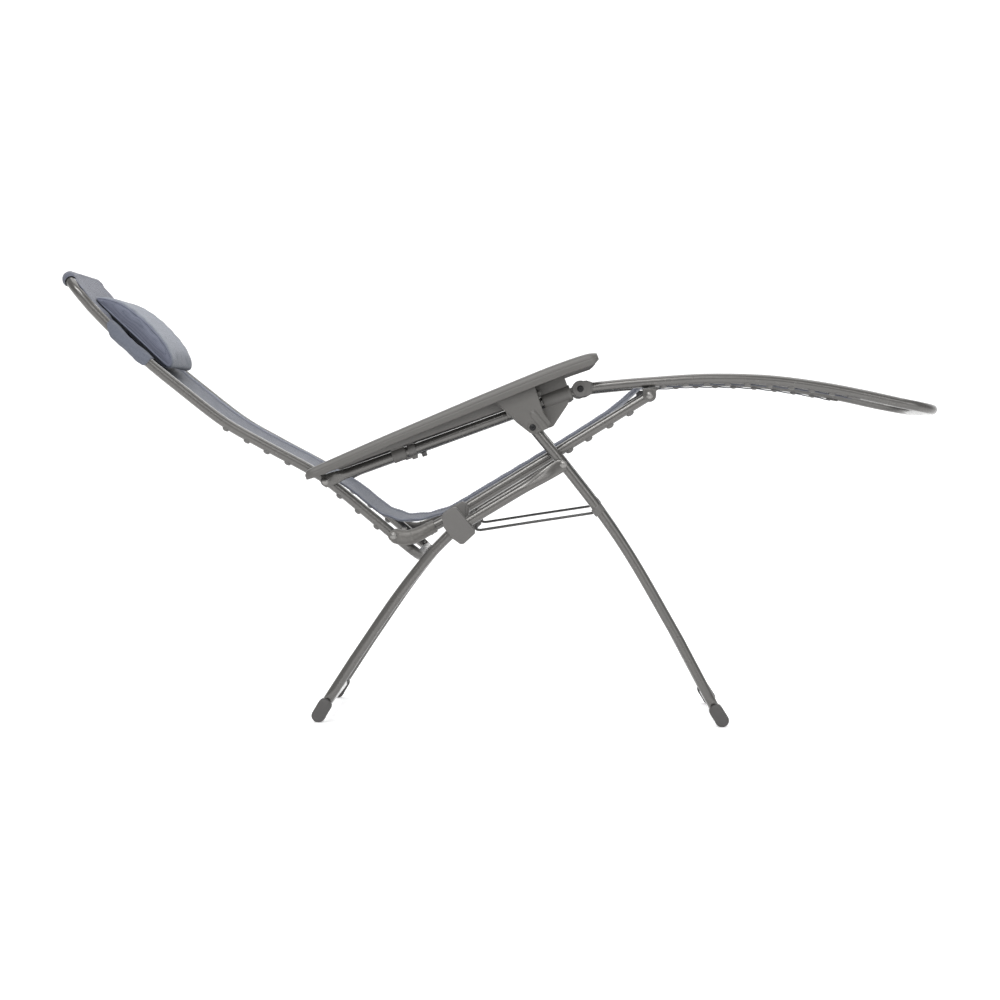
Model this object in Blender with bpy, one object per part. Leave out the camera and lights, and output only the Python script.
"""Zero gravity recliner: a folding steel tube lounger with a fabric sling, plastic armrests, a
headrest pillow and a linkage that tilts the back and the leg rest together.

Frame: metres, +Z up, +X towards the leg rest, +Y to the sitter's left. The origin is on the
floor, midway along the length and on the plane of symmetry. Every hinge axis runs along Y.
A side-view point is (x, z). Paired pieces are built on the left and mirrored to the right.
"""

import math

import bmesh
import bpy
from mathutils import Matrix, Vector

# ---------------------------------------------------------------- driving dimensions
TUBE = 0.010  # radius of every frame tube
CHANNEL = TUBE + 0.0006  # radius of the room cut for a tube
ARM_BORE = 0.01035  # radius of the bore in pieces that fit around the arm tube
SHANK = 0.0040  # radius of the hinge rivets
RIVET_BORE = 0.00412
SEAT_PIN = 0.0050  # radius of the seat pivot pins
PIN_BORE = 0.00514
BRACE_ROD = 0.0026  # radius of the brace rods
PRESSED_HALF = 0.0025  # half thickness of a tube end pressed flat for a rivet

# lateral centre planes of the left-hand pieces
Y_BACK = 0.246
Y_SEAT = 0.272  # seat rails, arm tubes and leg rest share one plane
Y_ROD = 0.2852
Y_PAD = 0.294
Y_FRONT = 0.3015
Y_TAB = 0.3146  # pressed upper ends of the rear legs
Y_REAR = 0.3265

# joints, side view
ARM_REAR = (-0.333, 0.464)  # arm tube on back frame
ARM_FRONT = (0.160, 0.650)  # arm tube on leg rest
LEG_HINGE = (0.294, 0.639)  # leg rest on seat rail
BACK_HINGE = (-0.198, 0.360)  # back frame on seat rail
BRACKET_PIVOT = (0.069, 0.574)  # armrest bracket on front leg
FRONT_LEG_HINGE = (0.129, 0.504)  # front leg on rear leg
SEAT_PIVOT = (-0.070, 0.384)  # seat rail on rear leg
BRACE_HINGE = (0.199, 0.415)  # brace rod on front leg

# tube centre lines, side view
REAR_LEG = [
    (0.133, 0.5065), FRONT_LEG_HINGE, (0.1120, 0.4935), (0.0900, 0.4797), (0.020, 0.4362),
    (-0.040, 0.399), (-0.078, 0.3735), (-0.108, 0.345), (-0.135, 0.314), (-0.192, 0.238),
    (-0.269, 0.122), (-0.325, 0.033),
]
FRONT_LEG = [
    (0.0638, 0.580), BRACKET_PIVOT, FRONT_LEG_HINGE, (0.203, 0.411), (0.268, 0.317),
    (0.357, 0.167), (0.431, 0.031),
]
BACK = [
    (-0.148, 0.321), BACK_HINGE, (-0.315, 0.454), (-0.364, 0.486), (-0.458, 0.535),
    (-0.535, 0.578), (-0.619, 0.641), (-0.688, 0.696), (-0.753, 0.755), (-0.795, 0.797),
    (-0.8436, 0.8535),
]
SEAT_RAIL = [(-0.134, 0.372), (-0.089, 0.397), LEG_HINGE, (0.2988, 0.6420)]
LEG_REST = [
    (0.198, 0.655), (0.246, 0.6605), (0.295, 0.6650), (0.392, 0.6725), (0.479, 0.6735),
    (0.547, 0.6700), (0.625, 0.6605), (0.703, 0.6470), (0.781, 0.6310), (0.8473, 0.6190),
]
SPLINE_STEP = 0.09  # point spacing along the rear leg, back and leg rest
FRONT_STEP = 0.12
SLING_STEP = 0.07
GROUND_BEND = 0.032  # bend radius between a leg and its ground bar

# ---------------------------------------------------------------- scene and materials
for old in list(bpy.data.objects):
    bpy.data.objects.remove(old, do_unlink=True)
scene = bpy.context.scene
scene.unit_settings.system = "METRIC"
scene.unit_settings.scale_length = 1.0
PARTS = bpy.data.collections.new("zero_gravity_recliner")
scene.collection.children.link(PARTS)


def material(name, colour, roughness, metallic=0.0):
    mat = bpy.data.materials.new(name)
    mat.use_nodes = True
    shader = mat.node_tree.nodes["Principled BSDF"]
    shader.inputs["Base Color"].default_value = (*colour, 1)
    shader.inputs["Roughness"].default_value = roughness
    shader.inputs["Metallic"].default_value = metallic
    mat.diffuse_color = (*colour, 1)
    return mat


PAINT = material("tube_paint", colour=(0.125, 0.122, 0.116), roughness=0.38, metallic=0.5)
CASTING = material("cast_elbow", colour=(0.34, 0.33, 0.31), roughness=0.5, metallic=0.4)
PLASTIC = material("warm_grey_plastic", colour=(0.135, 0.13, 0.122), roughness=0.5)
DARK = material("block_plastic", colour=(0.115, 0.112, 0.106), roughness=0.5)
BRIGHT = material("bright_rivet", colour=(0.6, 0.6, 0.6), roughness=0.3, metallic=1.0)
BLACK = material("black_screw", colour=(0.02, 0.02, 0.02), roughness=0.4, metallic=0.8)
ROD_METAL = material("dark_rod", colour=(0.08, 0.08, 0.085), roughness=0.35, metallic=0.8)
FABRIC = material("blue_grey_sling", colour=(0.33, 0.38, 0.50), roughness=0.9)
PILLOW = material("pillow_fabric", colour=(0.36, 0.41, 0.50), roughness=0.9)


# ---------------------------------------------------------------- objects
def new_object(name, data):
    obj = bpy.data.objects.new(name, data)
    PARTS.objects.link(obj)
    return obj


def hinge_empty(name, at):
    """An empty on a joint axis, which carries that joint's moving pieces."""
    empty = new_object("axis_" + name, None)
    empty.location = (at[0], 0, at[1])
    return empty


HINGES = {
    "arm_rear": ARM_REAR,
    "leg_hinge": LEG_HINGE,
    "back_hinge": BACK_HINGE,
    "front_leg_hinge": FRONT_LEG_HINGE,
    "seat_pivot": SEAT_PIVOT,
    "brace_hinge": BRACE_HINGE,
}
EMPTIES = {name: hinge_empty(name, at) for name, at in HINGES.items()}


def finish(name, obj, mat, hinge=None, smooth=True):
    """Names a finished piece, gives it its material and puts it under its joint's empty."""
    obj.name = name
    obj.data.name = name
    obj.data.materials.clear()
    obj.data.materials.append(mat)
    if hinge:
        obj.parent = EMPTIES[hinge]
        obj.matrix_parent_inverse = Matrix.Translation(EMPTIES[hinge].location).inverted()
    if smooth:
        obj.data.shade_smooth()
        obj.data.set_sharp_from_angle(angle=math.radians(35))


def finish_pair(stem, obj, mat, hinge=None):
    """Finishes a piece on the left (+Y) and its mirrored twin on the right."""
    mesh = obj.data.copy()
    for vert in mesh.vertices:
        vert.co.y = -vert.co.y
    mesh.flip_normals()
    finish(stem + "_left", obj, mat, hinge)
    finish(stem + "_right", new_object(stem + "_right", mesh), mat, hinge)


def from_bmesh(bm):
    bmesh.ops.recalc_face_normals(bm, faces=bm.faces)
    mesh = bpy.data.meshes.new("solid")
    bm.to_mesh(mesh)
    bm.free()
    return new_object("solid", mesh)


def combine(obj, others, operation):
    """Applies a boolean with each of the other objects in turn, and uses them up."""
    for other in others:
        mod = obj.modifiers.new(operation.lower(), "BOOLEAN")
        mod.operation = operation
        mod.solver = "EXACT"
        mod.object = other
        graph = bpy.context.evaluated_depsgraph_get()
        mesh = bpy.data.meshes.new_from_object(obj.evaluated_get(graph))
        obj.modifiers.clear()
        obj.data = mesh
        bpy.data.objects.remove(other, do_unlink=True)


def cut(obj, *others):
    combine(obj, others, "DIFFERENCE")


def join(obj, *others):
    combine(obj, others, "UNION")


# ---------------------------------------------------------------- paths
def side(points, y):
    """Side-view points placed in the plane at y."""
    return [Vector((x, y, z)) for x, z in points]


def around(centre, outline):
    return [(centre[0] + x, centre[1] + z) for x, z in outline]


def line_angle(start, end):
    return math.atan2(end[1] - start[1], end[0] - start[0])


def beside_line(start, angle, along, above):
    """Side-view point at a distance along a sloping line, and square above it."""
    c, s = math.cos(angle), math.sin(angle)
    return (start[0] + along * c - above * s, start[1] + along * s + above * c)


def normal_above(direction):
    """Upward normal, in the side view, of a direction."""
    normal = Vector((-direction.z, 0, direction.x))
    return normal if normal.z > 0 else -normal


def spline_through(points, step):
    """Catmull-Rom points through the given ones, spaced by about step."""
    out = []
    for i in range(len(points) - 1):
        p1, p2 = points[i], points[i + 1]
        p0 = points[i - 1] if i > 0 else p1 * 2 - p2
        p3 = points[i + 2] if i + 2 < len(points) else p2 * 2 - p1
        parts = max(1, round((p2 - p1).length / step))
        for k in range(parts):
            t = k / parts
            linear = (p2 - p0) * t
            square = (2 * p0 - 5 * p1 + 4 * p2 - p3) * t * t
            cubic = (3 * p1 - p0 - 3 * p2 + p3) * t ** 3
            out.append(0.5 * ((2 * p1) + linear + square + cubic))
    out.append(points[-1])
    return out


def rounded(points, bends, steps=4):
    """A polyline with some corners replaced by arcs: bends maps a point's number to a radius."""
    out = []
    for i, corner in enumerate(points):
        radius = bends.get(i)
        if radius is None:
            out.append(corner)
            continue
        before = (points[i - 1] - corner).normalized()
        after = (points[(i + 1) % len(points)] - corner).normalized()
        half = before.angle(after) / 2
        reach = radius / math.tan(half)
        centre = corner + (before + after).normalized() * (radius / math.sin(half))
        start = (corner + before * reach - centre).normalized()
        end = (corner + after * reach - centre).normalized()
        for k in range(steps + 1):
            out.append(centre + start.slerp(end, k / steps) * radius)
    return out


def across(left, bend, end_bend=None):
    """Path down the left side and back up the right, bent where it crosses the chair.

    end_bend also rounds the path's two ends, for a path that closes on itself.
    """
    points = left + [Vector((p.x, -p.y, p.z)) for p in reversed(left)]
    bends = {len(left) - 1: bend, len(left): bend}
    if end_bend:
        bends.update({0: end_bend, len(points) - 1: end_bend})
    return rounded(points, bends)


# ---------------------------------------------------------------- solids
def tube(points, radius=TUBE, closed=False, resolution=4, factors=None):
    """A capped or closed round bar along a path: factors scale the radius at each point."""
    data = bpy.data.curves.new("tube", "CURVE")
    data.dimensions = "3D"
    data.bevel_depth = radius
    data.bevel_resolution = resolution
    data.use_fill_caps = not closed
    line = data.splines.new("POLY")
    line.points.add(len(points) - 1)
    for i, p in enumerate(points):
        line.points[i].co = (*p, 1)
        line.points[i].radius = factors[i] if factors else 1.0
    line.use_cyclic_u = closed
    curve = new_object("tube", data)
    graph = bpy.context.evaluated_depsgraph_get()
    mesh = bpy.data.meshes.new_from_object(curve.evaluated_get(graph))
    bpy.data.objects.remove(curve, do_unlink=True)
    bm = bmesh.new()
    bm.from_mesh(mesh)
    bmesh.ops.remove_doubles(bm, verts=bm.verts, dist=1e-5)
    return from_bmesh(bm)


def channel(points):
    """Cutter that makes room for a tube."""
    return tube(points, CHANNEL)


def slab(outline, y0, y1, bevel=0.0):
    """A side-view outline pulled out across the chair from y0 to y1, its two rims bevelled."""
    bm = bmesh.new()
    face = bm.faces.new([bm.verts.new((x, y0, z)) for x, z in outline])
    out = bmesh.ops.extrude_face_region(bm, geom=[face])
    moved = [g for g in out["geom"] if isinstance(g, bmesh.types.BMVert)]
    bmesh.ops.translate(bm, vec=(0, y1 - y0, 0), verts=moved)
    bmesh.ops.recalc_face_normals(bm, faces=bm.faces)
    if bevel:
        rims = [e for e in bm.edges if abs(e.verts[0].co.y - e.verts[1].co.y) < 1e-6]
        bmesh.ops.bevel(bm, geom=rims, offset=bevel, segments=1, affect="EDGES", profile=0.5)
    return from_bmesh(bm)


def box(low, high):
    bm = bmesh.new()
    bmesh.ops.create_cube(bm, size=1)
    bmesh.ops.scale(bm, vec=[h - l for l, h in zip(low, high)], verts=bm.verts)
    bmesh.ops.translate(bm, vec=[(l + h) / 2 for l, h in zip(low, high)], verts=bm.verts)
    return from_bmesh(bm)


def cylinder(radius, length, sides, turn, centre):
    bm = bmesh.new()
    bmesh.ops.create_cone(
        bm, cap_ends=True, segments=sides, radius1=radius, radius2=radius, depth=length)
    bmesh.ops.rotate(bm, matrix=turn, verts=bm.verts)
    bmesh.ops.translate(bm, vec=centre, verts=bm.verts)
    return from_bmesh(bm)


def rod_y(at, radius, y0, y1, sides=16):
    """A cylinder across the chair, from y0 to y1."""
    turn = Matrix.Rotation(math.radians(90), 3, "X")
    return cylinder(radius, abs(y1 - y0), sides, turn, (at[0], (y0 + y1) / 2, at[1]))


def turned(at, profile, sides=16):
    """A turned piece on an axis across the chair: profile is (radius, y), inner end first."""
    bm = bmesh.new()
    rings = []
    for radius, y in profile:
        angles = [2 * math.pi * k / sides for k in range(sides)] if radius else [0.0]
        rings.append([
            bm.verts.new((at[0] + radius * math.cos(a), y, at[1] + radius * math.sin(a)))
            for a in angles])
    for low, high in zip(rings, rings[1:]):
        for k in range(sides):
            n = (k + 1) % sides
            if len(low) == 1:
                bm.faces.new([low[0], high[k], high[n]])
            elif len(high) == 1:
                bm.faces.new([low[k], low[n], high[0]])
            else:
                bm.faces.new([low[k], low[n], high[n], high[k]])
    return from_bmesh(bm)


def crimp(obj, end, along, y_from, y_to, flat, taper, half_thickness, height=1.0, sign=1):
    """Presses a tube's end flat and shifts it from plane y_from to y_to.

    The press is full for the length flat from the end, and fades out over the length taper.
    height scales the pressed section in the side view; sign picks the left or right tube.
    """
    end = Vector((end[0], sign * y_from, end[1]))
    along = along.normalized()
    for vert in obj.data.vertices:
        if (vert.co.y > 0) != (sign > 0):
            continue
        t = (vert.co - end).dot(along)
        if t > flat + taper or (vert.co - end).length > 0.2:
            continue
        press = 1 if t < flat else 1 - (t - flat) / taper
        press = press * press * (3 - 2 * press)
        y_offset = vert.co.y - sign * y_from
        y_pressed = sign * y_to + y_offset * half_thickness / TUBE
        foot = end + along * t
        rise = Vector((vert.co.x - foot.x, 0, vert.co.z - foot.z))
        y = vert.co.y * (1 - press) + y_pressed * press
        vert.co = Vector((vert.co.x, y, vert.co.z)) + rise * (press * (height - 1))


# ---------------------------------------------------------------- frame of the arm tube
ARM_ANGLE = line_angle(ARM_REAR, ARM_FRONT)
ARM_LENGTH = math.hypot(ARM_FRONT[0] - ARM_REAR[0], ARM_FRONT[1] - ARM_REAR[1])
BRACKET_AT = 0.4150  # station on the arm tube, from its rear hinge, that faces the bracket pivot


def along_arm(along, above=0.0):
    """Side-view point along the arm tube from its rear hinge and above its centre line."""
    return beside_line(ARM_REAR, ARM_ANGLE, along, above)


def arm_slab(outline, y0, y1, bevel=0.0):
    """A slab whose outline is (along, above) the arm tube, measured from BRACKET_AT."""
    return slab([along_arm(BRACKET_AT + t, n) for t, n in outline], y0, y1, bevel)


def arm_cylinder(radius, start, end):
    """A cylinder around the arm tube, between two stations measured from BRACKET_AT."""
    a, b = along_arm(BRACKET_AT + start), along_arm(BRACKET_AT + end)
    turn = Matrix.Rotation(math.radians(90) - ARM_ANGLE, 3, "Y")
    centre = ((a[0] + b[0]) / 2, Y_SEAT, (a[1] + b[1]) / 2)
    return cylinder(radius, end - start, 20, turn, centre)


# ---------------------------------------------------------------- rivets, pins and screws
# (name, joint, parent hinge, profile of (radius, y) from the inner head to the outer head)
RIVETS = [
    ("front_leg_rivet", FRONT_LEG_HINGE, None, [
        (0.0, 0.2880), (0.0062, 0.2884), (0.0062, 0.2912), (SHANK, 0.2913),
        (SHANK, 0.3174), (0.0068, 0.3175), (0.0060, 0.3197), (0.0, 0.3211)]),
    ("back_rivet", BACK_HINGE, "back_hinge", [
        (0.0, 0.2326), (0.0060, 0.2330), (0.0060, 0.2356), (SHANK, 0.2357),
        (SHANK, 0.2846), (0.0070, 0.2847), (0.0062, 0.2868), (0.0, 0.2882)]),
    ("leg_rivet", LEG_HINGE, "leg_hinge", [
        (0.0, 0.2566), (0.0058, 0.2568), (0.0058, 0.2587), (SHANK, 0.2588),
        (SHANK, 0.2852), (0.0068, 0.2853), (0.0060, 0.2873), (0.0, 0.2886)]),
    ("arm_rivet", ARM_REAR, "arm_rear", [
        (0.0, 0.2326), (0.0060, 0.2330), (0.0060, 0.2356), (SHANK, 0.2357),
        (SHANK, 0.2619), (0.0068, 0.2620), (0.0060, 0.2640), (0.0, 0.2652)]),
]
# (radius, y), inner end first
PIN_PROFILE = [
    (0.0, 0.2606), (SEAT_PIN, 0.2608), (SEAT_PIN, 0.3380), (0.0042, 0.3388), (0.0, 0.3389),
]
# (radius, height above the face the screw sits on)
SCREW_PROFILE = [(0.0, 0.0), (0.0062, 0.0), (0.0062, 0.0022), (0.0050, 0.0034), (0.0, 0.0036)]
SOCKET_RADIUS = 0.0026
SOCKET_FLOOR = 0.0014


def screw(stem, at, face_y, hinge):
    """A black button screw with a hexagon socket, its head against the face at face_y."""
    head = turned(at, [(radius, face_y + rise) for radius, rise in SCREW_PROFILE], sides=12)
    cut(head, rod_y(at, SOCKET_RADIUS, face_y + SOCKET_FLOOR, face_y + 0.006, sides=6))
    finish_pair(stem, head, BLACK, hinge)


def fasteners():
    for stem, at, hinge, profile in RIVETS:
        finish_pair(stem, turned(at, profile), BRIGHT, hinge)
    finish_pair("seat_pin", turned(SEAT_PIVOT, PIN_PROFILE), BRIGHT, "seat_pivot")
    screw("knuckle_screw", ARM_FRONT, 0.2839, "leg_hinge")
    screw("bracket_screw", BRACKET_PIVOT, 0.3152, "arm_rear")


# ---------------------------------------------------------------- feet
FOOT_RADIUS = 0.0133
FOOT_SHIFT = 0.0115  # from the ground bar outward to the centre of the foot's lower arc
FOOT_INNER = 0.030  # from the leg's plane to the foot's inner face
FOOT_ARC = range(-90, 91, 20)  # degrees from the direction of the lower arc's centre
SOLE_BELOW = 0.0012  # outline points lower than this are set on the floor


def foot(stem, frame_path, bar, outward, y_leg, hinge=None):
    """A plastic foot over the bend between a leg and its ground bar, with a flat sole."""
    low = (bar[0] + outward * FOOT_SHIFT, FOOT_RADIUS)
    down = line_angle(bar, low)
    ring = [
        (centre[0] + FOOT_RADIUS * math.cos(down + math.radians(a + turn)),
         centre[1] + FOOT_RADIUS * math.sin(down + math.radians(a + turn)))
        for centre, turn in ((bar, 180), (low, 0)) for a in FOOT_ARC]
    outline = [(x, 0.0 if z < SOLE_BELOW else z) for x, z in ring]
    body = slab(outline, y_leg - FOOT_INNER, y_leg + FOOT_RADIUS - 0.0005)
    bar_end = Vector((bar[0], 0.2, bar[1]))
    cut(body, channel([p for p in frame_path if p.z < 0.24 and p.y > 0.2] + [bar_end]))
    finish_pair(stem, body, DARK, hinge)


# ---------------------------------------------------------------- rear legs (they stand still)
# side-view outline of the block on the rear leg, around the seat pivot
PIVOT_BLOCK = [
    (-0.034, 0.017), (-0.0305, 0.0235), (-0.012, 0.0345), (-0.005, 0.0335), (0.0300, -0.0080),
    (0.0310, -0.0155), (0.0100, -0.0355), (0.003, -0.0365), (-0.0140, -0.0245),
    (-0.0290, -0.0050),
]


def rear_legs():
    left = spline_through(side(REAR_LEG[:-1], Y_REAR), SPLINE_STEP) + side(REAR_LEG[-1:], Y_REAR)
    path = across(left, GROUND_BEND)
    frame = tube(path)
    down_leg = Vector((REAR_LEG[4][0] - REAR_LEG[1][0], 0, REAR_LEG[4][1] - REAR_LEG[1][1]))
    for sign in (1, -1):
        crimp(frame, REAR_LEG[0], down_leg, Y_REAR, Y_TAB, flat=0.022, taper=0.045,
              half_thickness=PRESSED_HALF, height=1.18, sign=sign)
        cut(frame, rod_y(FRONT_LEG_HINGE, RIVET_BORE, sign * 0.30, sign * 0.33))
        cut(frame, rod_y(SEAT_PIVOT, PIN_BORE, sign * 0.31, sign * 0.345))
    finish("rear_leg_frame", frame, PAINT)
    foot("rear_foot", path, REAR_LEG[-1], -1, Y_REAR)


def pivot_block():
    block = slab(around(SEAT_PIVOT, PIVOT_BLOCK), y0=0.3135, y1=0.3408, bevel=0.0025)
    cut(block,
        channel(spline_through(side(REAR_LEG[4:10], Y_REAR), SPLINE_STEP)),
        rod_y(SEAT_PIVOT, PIN_BORE, 0.31, 0.3392))
    finish_pair("pivot_block", block, DARK)


# ---------------------------------------------------------------- front legs and brace rods
BRACE_PATH = [
    (-0.0300, 0.3870), (-0.0375, 0.3840), (-0.0375, 0.3745), (-0.0290, 0.3740),
    (0.070, 0.3908), (0.186, 0.4098), (0.197, 0.4150),
]
COLLAR_RADIUS = 0.0132
COLLAR_HALF = 0.009  # half of its length along the leg


def front_legs():
    left = (side(FRONT_LEG[:2], Y_FRONT)
            + spline_through(side(FRONT_LEG[2:-1], Y_FRONT), FRONT_STEP)
            + side(FRONT_LEG[-1:], Y_FRONT))
    path = across(left, GROUND_BEND)
    frame = tube(path)
    for sign in (1, -1):
        cut(frame, rod_y(FRONT_LEG_HINGE, RIVET_BORE, sign * 0.285, sign * 0.32))
    finish("front_leg_frame", frame, PAINT, "front_leg_hinge")
    foot("front_foot", path, FRONT_LEG[-1], 1, Y_FRONT, "front_leg_hinge")


def brace_collar():
    """Collar around the front leg at the end of the brace rod."""
    upper, lower = side(FRONT_LEG[2:4], Y_FRONT)
    half = (lower - upper).normalized() * COLLAR_HALF
    middle = Vector((BRACE_HINGE[0] - 0.001, Y_FRONT, BRACE_HINGE[1] + 0.001))
    collar = tube([middle - half, middle + half], COLLAR_RADIUS)
    cut(collar, channel(spline_through(side(FRONT_LEG[2:5], Y_FRONT), FRONT_STEP)))
    finish_pair("brace_collar", collar, DARK, "front_leg_hinge")


def brace_rod():
    rod = tube(side(BRACE_PATH, Y_ROD), BRACE_ROD, resolution=2)
    finish_pair("brace_rod", rod, ROD_METAL, "brace_hinge")


# ---------------------------------------------------------------- seat
# side-view outline of the block on the seat rail, around the seat pivot
SEAT_BLOCK = [
    (-0.034, 0.0180), (-0.0300, 0.0245), (-0.0125, 0.0365), (0.0040, 0.0450),
    (0.0130, 0.0420), (0.0190, 0.0330), (0.0150, -0.0060), (0.0080, -0.0130),
    (-0.0080, -0.0140), (-0.0290, -0.0020),
]
# centre line of the cast elbow from the back hinge to the seat rail: (x, z, radius factor)
SEAT_ELBOW = [
    (BACK_HINGE[0] - 0.006, BACK_HINGE[1] + 0.001, 0.62),
    (BACK_HINGE[0] + 0.004, BACK_HINGE[1] - 0.0005, 1.0),
    (-0.180, 0.3570, 1.0), (-0.166, 0.3580, 0.97), (-0.150, 0.3640, 0.90),
    (-0.1345, 0.3720, 0.84), (-0.118, 0.3808, 0.80),
]
ELBOW_RADIUS = 0.0150
# the elbow narrows across the chair behind this x, reaching the full share over this length
ELBOW_NARROW_X = -0.140
ELBOW_NARROW_LENGTH = 0.03
ELBOW_NARROW_SHARE = 0.24


def seat_rail():
    rail = tube(side(SEAT_RAIL, Y_SEAT))
    cut(rail, rod_y(LEG_HINGE, RIVET_BORE, 0.26, 0.29))
    finish_pair("seat_rail", rail, PAINT, "seat_pivot")


def seat_block():
    block = slab(around(SEAT_PIVOT, SEAT_BLOCK), y0=0.2592, y1=0.2985, bevel=0.002)
    cut(block,
        channel(side([(-0.1290, 0.3735), SEAT_RAIL[1], (0.05, 0.4848)], Y_SEAT)),
        rod_y(SEAT_PIVOT, PIN_BORE, 0.2565, 0.31))
    finish_pair("seat_block", block, DARK, "seat_pivot")


def seat_elbow():
    path = side([(x, z) for x, z, _ in SEAT_ELBOW], Y_SEAT)
    elbow = tube(path, ELBOW_RADIUS, factors=[factor for _, _, factor in SEAT_ELBOW])
    for vert in elbow.data.vertices:
        near = min(1.0, max(0.0, (ELBOW_NARROW_X - vert.co.x) / ELBOW_NARROW_LENGTH))
        vert.co.y = Y_SEAT + (vert.co.y - Y_SEAT) * (1 - ELBOW_NARROW_SHARE * near)
    cut(elbow,
        channel(side([(-0.1346, 0.3717)] + SEAT_RAIL[:2], Y_SEAT)),
        rod_y(BACK_HINGE, RIVET_BORE, 0.25, 0.29))
    finish_pair("seat_elbow", elbow, CASTING, "seat_pivot")


# ---------------------------------------------------------------- back
HOOD_RADIUS = 0.0140
PILLOW_SIZE = (0.190, 0.420, 0.056)  # along the back, across the chair, thickness
PILLOW_ON_BACK = Vector((-0.735, 0, 0.7395))
PILLOW_LIFT = 0.0400  # from that point to the pillow's centre


def back_path():
    left = (side(BACK[:1], Y_BACK)
            + spline_through(side(BACK[1:-1], Y_BACK), SPLINE_STEP)
            + side(BACK[-1:], Y_BACK))
    return across(left, bend=0.050, end_bend=0.030)


def back_frame():
    frame = tube(back_path(), closed=True)
    for sign in (1, -1):
        for at in (ARM_REAR, BACK_HINGE):
            cut(frame, rod_y(at, RIVET_BORE, sign * 0.23, sign * 0.262))
    finish("back_frame", frame, PAINT, "back_hinge")


def headrest_pillow():
    """The pillow lies on the sling at the head end."""
    lower, upper = side(BACK[7:9], 0)
    up = (upper - lower).normalized()
    bm = bmesh.new()
    bmesh.ops.create_cube(bm, size=1)
    bmesh.ops.scale(bm, vec=PILLOW_SIZE, verts=bm.verts)
    bmesh.ops.bevel(
        bm, geom=list(bm.edges), offset=0.020, segments=3, affect="EDGES", profile=0.5)
    lean = Matrix.Rotation(-math.atan2(up.z, up.x), 3, "Y")
    bmesh.ops.rotate(bm, matrix=lean, verts=bm.verts)
    centre = PILLOW_ON_BACK + normal_above(up) * PILLOW_LIFT
    bmesh.ops.translate(bm, vec=centre, verts=bm.verts)
    finish("headrest_pillow", from_bmesh(bm), PILLOW, "back_hinge")


def top_hood():
    """Fabric sleeve over the top bar."""
    top = [p for p in back_path() if p.z > 0.80]
    hood = tube([p for p in top if p.x < -0.822], HOOD_RADIUS)
    cut(hood, channel(top))
    finish("top_hood", hood, FABRIC, "back_hinge")


# ---------------------------------------------------------------- leg rest
def by_leg(along, above=0.0):
    """Side-view point on the line from the arm tube's front joint to the leg rest's start."""
    return beside_line(ARM_FRONT, line_angle(ARM_FRONT, LEG_REST[0]), along, above)


def leg_rest_frame():
    start = (ARM_FRONT[0] + 0.0240, ARM_FRONT[1] + 0.0031)
    left = (side([start], Y_SEAT)
            + spline_through(side(LEG_REST[:-1], Y_SEAT), SPLINE_STEP)
            + side(LEG_REST[-1:], Y_SEAT))
    finish("leg_rest_frame", tube(across(left, bend=0.060)), PAINT, "leg_hinge")


def leg_bracket():
    """Channel-shaped bracket, open below, over the seat rail's end."""
    x, z = LEG_HINGE
    bracket = box((x - 0.0170, 0.2590, z - 0.0130), (x + 0.0125, 0.2850, z + 0.0138))
    cut(bracket,
        box((x - 0.03, 0.2616, z - 0.03), (x + 0.03, 0.2824, z + 0.0119)),
        rod_y(LEG_HINGE, RIVET_BORE, 0.25, 0.29))
    finish_pair("leg_bracket", bracket, PAINT, "leg_hinge")


def leg_knuckle():
    """Fork that takes the arm tube's tongue."""
    radius = 0.0160
    angles = [math.radians(a) for a in range(64, 297, 29)]
    outline = [by_leg(0.0310, 0.0125), by_leg(0.0200, 0.0150)]
    outline += [by_leg(radius * math.cos(a), radius * math.sin(a)) for a in angles]
    outline += [by_leg(0.0200, -0.0150), by_leg(0.0310, -0.0125)]
    knuckle = slab(outline, y0=0.2603, y1=0.2837, bevel=0.0015)
    slot = [by_leg(-0.03, -0.03), by_leg(0.0210, -0.03), by_leg(0.0210, 0.03), by_leg(-0.03, 0.03)]
    cut(knuckle,
        slab(slot, y0=0.2685, y1=0.2755),
        channel(side([by_leg(0.0237), by_leg(0.06)], Y_SEAT)))
    finish_pair("leg_knuckle", knuckle, DARK, "leg_hinge")


# ---------------------------------------------------------------- slings
SLING_THICKNESS = 0.003
# (name, side-view line, half width, height above the line, parent hinge)
SLINGS = [
    ("back_sling", BACK[2:-1] + [(-0.815, 0.8195)],
     Y_BACK - TUBE - 0.001, 0.006, "back_hinge"),
    ("seat_sling", [(-0.070, 0.409), (0.268, 0.6226)],
     Y_SEAT - TUBE - 0.0035, 0.004, "seat_pivot"),
    ("leg_sling", [(0.330, 0.6680)] + LEG_REST[3:8] + [(0.730, 0.6415)],
     Y_SEAT - TUBE - 0.001, 0.004, "leg_hinge"),
]


def sling(name, line, half_width, lift, hinge):
    """A taut fabric panel between two rails, at a height above their line."""
    points = spline_through(side(line, 0), SLING_STEP)
    upper, lower = [], []
    for i, p in enumerate(points):
        ahead = points[min(i + 1, len(points) - 1)]
        normal = normal_above((ahead - points[max(i - 1, 0)]).normalized())
        upper.append(p + normal * (lift + SLING_THICKNESS / 2))
        lower.append(p + normal * (lift - SLING_THICKNESS / 2))
    outline = [(p.x, p.z) for p in upper + lower[::-1]]
    finish(name, slab(outline, -half_width, half_width), FABRIC, hinge, smooth=False)


# ---------------------------------------------------------------- arm tubes and their clips
ARM_START = -0.009
ARM_END = ARM_LENGTH + 0.0080
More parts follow.
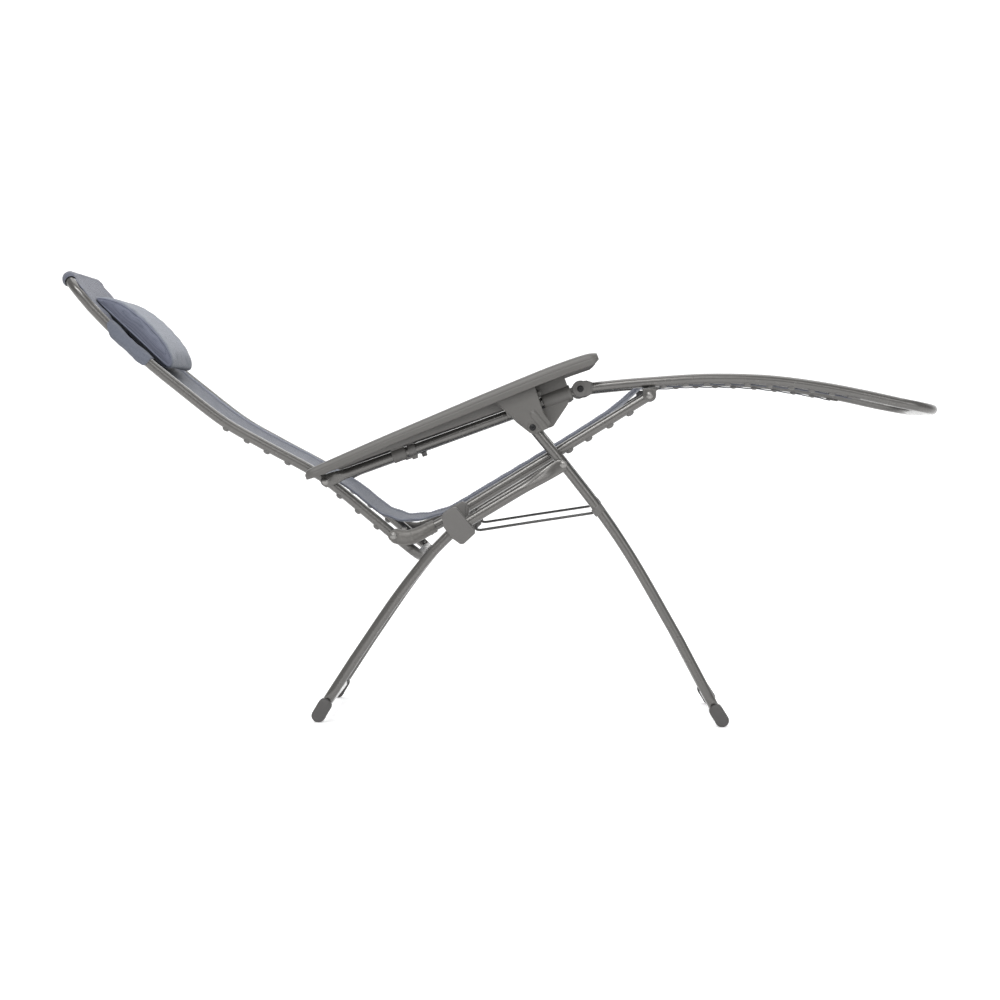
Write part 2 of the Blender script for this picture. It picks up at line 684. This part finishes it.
# distances from the rear hinge, closer together where the tube is pressed
ARM_STATIONS = [
    ARM_START, 0.0, 0.009, 0.018, 0.027, 0.036, 0.048, 0.12, 0.24, 0.36,
    0.4775, 0.4815, 0.4855, 0.4905, 0.51, ARM_LENGTH, ARM_END,
]


def arm_tube():
    arm = tube(side([along_arm(t) for t in ARM_STATIONS], Y_SEAT))
    forward = Vector((math.cos(ARM_ANGLE), 0, math.sin(ARM_ANGLE)))
    crimp(arm, along_arm(ARM_START), forward, Y_SEAT, 0.2592,
          flat=0.022, taper=0.028, half_thickness=PRESSED_HALF)
    crimp(arm, along_arm(ARM_END), -forward, Y_SEAT, Y_SEAT,
          flat=0.0445, taper=0.009, half_thickness=0.0030, height=0.8)
    cut(arm, rod_y(ARM_REAR, RIVET_BORE, 0.255, 0.27))
    finish_pair("arm_tube", arm, PAINT, "arm_rear")


def stop_clip():
    """Ring around the arm tube with a toe below."""
    clip = arm_cylinder(0.0133, -0.2440, -0.2250)
    toe = [(-0.2400, -0.0195), (-0.2280, -0.0195), (-0.2280, -0.0110), (-0.2400, -0.0110)]
    join(clip, arm_slab(toe, y0=0.2670, y1=0.2770))
    cut(clip, arm_cylinder(ARM_BORE, -0.2480, -0.2200))
    finish_pair("stop_clip", clip, DARK, "arm_rear")


# ---------------------------------------------------------------- armrests
# outlines are (along, above) the arm tube, measured from BRACKET_AT
BRACKET_WEB = [(-0.0390, -0.0060), (0.0270, -0.0060), (0.0270, 0.0138), (-0.0390, 0.0138)]
BRACKET_INNER = [
    (-0.0580, 0.0500), (-0.0260, -0.0200), (-0.0090, -0.0470), (-0.0020, -0.0520),
    (0.0260, -0.0510), (0.0386, -0.0500), (0.0790, -0.0190), (0.0922, -0.0122),
    (0.0922, 0.0550), (0.0450, 0.0544),
]
BRACKET_OUTER = [
    (-0.0600, 0.0498), (-0.0280, -0.0130), (-0.0090, -0.0470), (-0.0020, -0.0520),
    (0.0260, -0.0510), (0.0360, -0.0430), (0.0290, -0.0200), (0.0310, 0.0538),
]
PAD_TOP = [
    (-0.4440, 0.0210), (-0.4410, 0.0300), (-0.4300, 0.0335), (-0.3230, 0.0410),
    (-0.2410, 0.0460), (-0.1600, 0.0504), (-0.0740, 0.0550), (0.0480, 0.0602),
    (0.1040, 0.0610), (0.1390, 0.0598), (0.1630, 0.0565),
]
PAD_UNDER = [
    (0.1640, 0.0410), (0.1540, 0.0340), (0.1040, 0.0348), (0.0480, 0.0338),
    (-0.0500, 0.0306), (-0.2700, 0.0223), (-0.4170, 0.0130), (-0.4430, 0.0142),
]
PAD_RIB = [
    (-0.4200, 0.0140), (-0.0650, 0.0128), (-0.0650, 0.0528), (-0.1600, 0.0478),
    (-0.2410, 0.0434), (-0.3230, 0.0384), (-0.4200, 0.0314),
]
PAD_HALF = 0.036  # half width
PAD_ROOF = 0.0050  # thickness over the hollow
PAD_END = 0.0035  # inset of the hollow's roof line at each end
PAD_WALL = 0.0030  # thickness of the side walls


def rear_guide():
    """An open shell that runs along the outside of the arm tube."""
    guide = arm_cylinder(0.0135, -0.2750, -0.2480)
    root = [(-0.2750, 0.0100), (-0.2480, 0.0100), (-0.2480, 0.0200), (-0.2750, 0.0200)]
    join(guide, arm_slab(root, y0=0.2664, y1=0.2845))
    open_side = box((-0.6, 0.24, 0.3), (0.3, 0.2660, 0.8))
    cut(guide, arm_cylinder(ARM_BORE, -0.2900, -0.2400), open_side)
    finish_pair("rear_guide", guide, PLASTIC, "arm_rear")


def front_bracket():
    """A sleeve on the arm tube, and two cheeks that straddle the front leg's end."""
    bracket = arm_cylinder(0.0155, 0.0350, 0.0930)
    join(bracket,
         arm_slab(BRACKET_INNER, y0=0.2834, y1=0.2880),
         arm_slab(BRACKET_WEB, y0=0.2850, y1=0.3140),
         arm_slab(BRACKET_OUTER, y0=0.3118, y1=0.3150))
    cut(bracket, arm_cylinder(ARM_BORE, -0.06, 0.12))
    finish_pair("front_bracket", bracket, PLASTIC, "arm_rear")


def arm_pad():
    """A moulded cap, hollow underneath, with a lengthwise rib beside the arm tube."""
    y0, y1 = Y_PAD - PAD_HALF, Y_PAD + PAD_HALF
    pad = arm_slab(PAD_TOP + PAD_UNDER, y0, y1, bevel=0.0060)
    hollow = [(t + (PAD_END if t < -0.15 else -PAD_END), n - PAD_ROOF) for t, n in PAD_TOP]
    hollow += [(0.1560, 0.0), (-0.4395, 0.0)]
    cut(pad, arm_slab(hollow, y0 + PAD_WALL, y1 - PAD_WALL))
    join(pad, arm_slab(PAD_RIB, y0=0.2885, y1=0.2925))
    finish_pair("arm_pad", pad, PLASTIC, "arm_rear")


# ---------------------------------------------------------------- build
fasteners()
rear_legs()
pivot_block()
front_legs()
brace_collar()
brace_rod()
seat_rail()
seat_block()
seat_elbow()
back_frame()
headrest_pillow()
top_hood()
leg_rest_frame()
leg_bracket()
leg_knuckle()
for sling_values in SLINGS:
    sling(*sling_values)
arm_tube()
stop_clip()
rear_guide()
front_bracket()
arm_pad()
